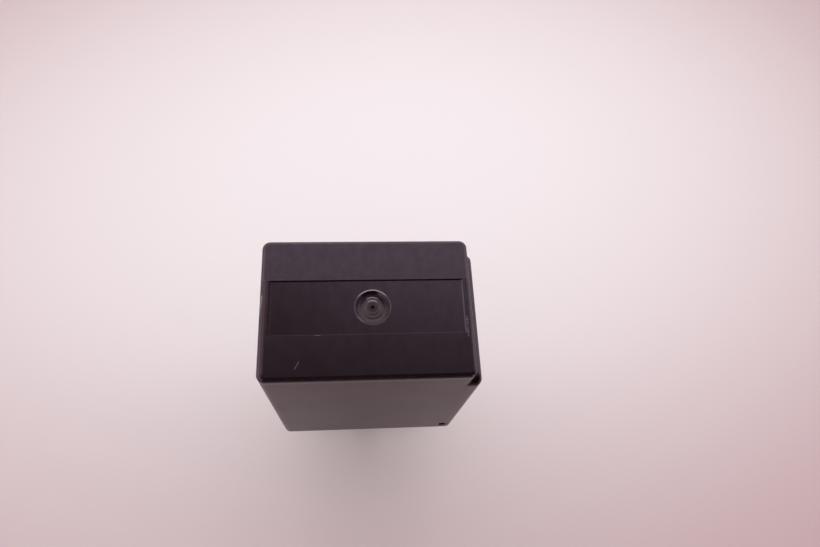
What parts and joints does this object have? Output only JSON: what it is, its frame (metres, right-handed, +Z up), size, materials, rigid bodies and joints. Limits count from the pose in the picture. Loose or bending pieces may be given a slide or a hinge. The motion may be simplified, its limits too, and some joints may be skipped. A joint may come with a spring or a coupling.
{
  "type": "automotive relay",
  "caption": "Plug-in changeover relay: black moulded cover with a side shoulder, flat blades below and a hinged armature switched by a coil inside.",
  "frame": {"origin": "centre of the outline in plan, on the surface that the blade tips stand on", "axes": "+X to the relay's shouldered side, +Y to the back, +Z up from the blade tips to the cover's top"},
  "size_m": [0.023, 0.0154, 0.039],
  "materials": {
    "cover_plastic": "fine-grained black glass-filled polyester, smoother in the sunk panel",
    "base_plastic": "matte black moulded polyester",
    "terminal_metal": "tin-plated copper alloy strip, satin",
    "bobbin_plastic": "natural nylon",
    "copper_wire": "enamelled copper",
    "magnet_iron": "nickel-plated soft iron",
    "spring_bronze": "rolled copper-alloy spring strip",
    "rivet_metal": "plain upset metal",
    "contact_silver": "satin silver alloy",
    "resistor_ceramic": "lacquered body",
    "lead_wire": "tinned wire"
  },
  "bodies": {
    "housing": {"cover": "cover_plastic", "base": "base_plastic", "terminal_30": "terminal_metal", "terminal_87": "terminal_metal", "terminal_87a": "terminal_metal", "terminal_85": "terminal_metal", "terminal_86": "terminal_metal", "bobbin": "bobbin_plastic", "winding": "copper_wire", "core": "magnet_iron", "yoke": "magnet_iron", "contact_spring": "spring_bronze", "spring_rivets": "rivet_metal", "working_contact": "contact_silver", "resting_contact": "contact_silver", "resistor": "resistor_ceramic", "resistor_leads": "lead_wire"},
    "armature": {"armature": "magnet_iron", "armature_rivets": "rivet_metal", "moving_contact": "contact_silver"}
  },
  "joints": [
    {"name": "armature_hinge", "type": "hinge", "parent": "housing", "child": "armature", "pos_m": [-0.00891, 0, 0.03228], "axis": [0, 1, 0], "range_deg": [0, 3.4], "stiffness_Nm_per_rad": 0.012, "springref_deg": -20.05, "deforming": ["contact_spring"]}
  ]
}
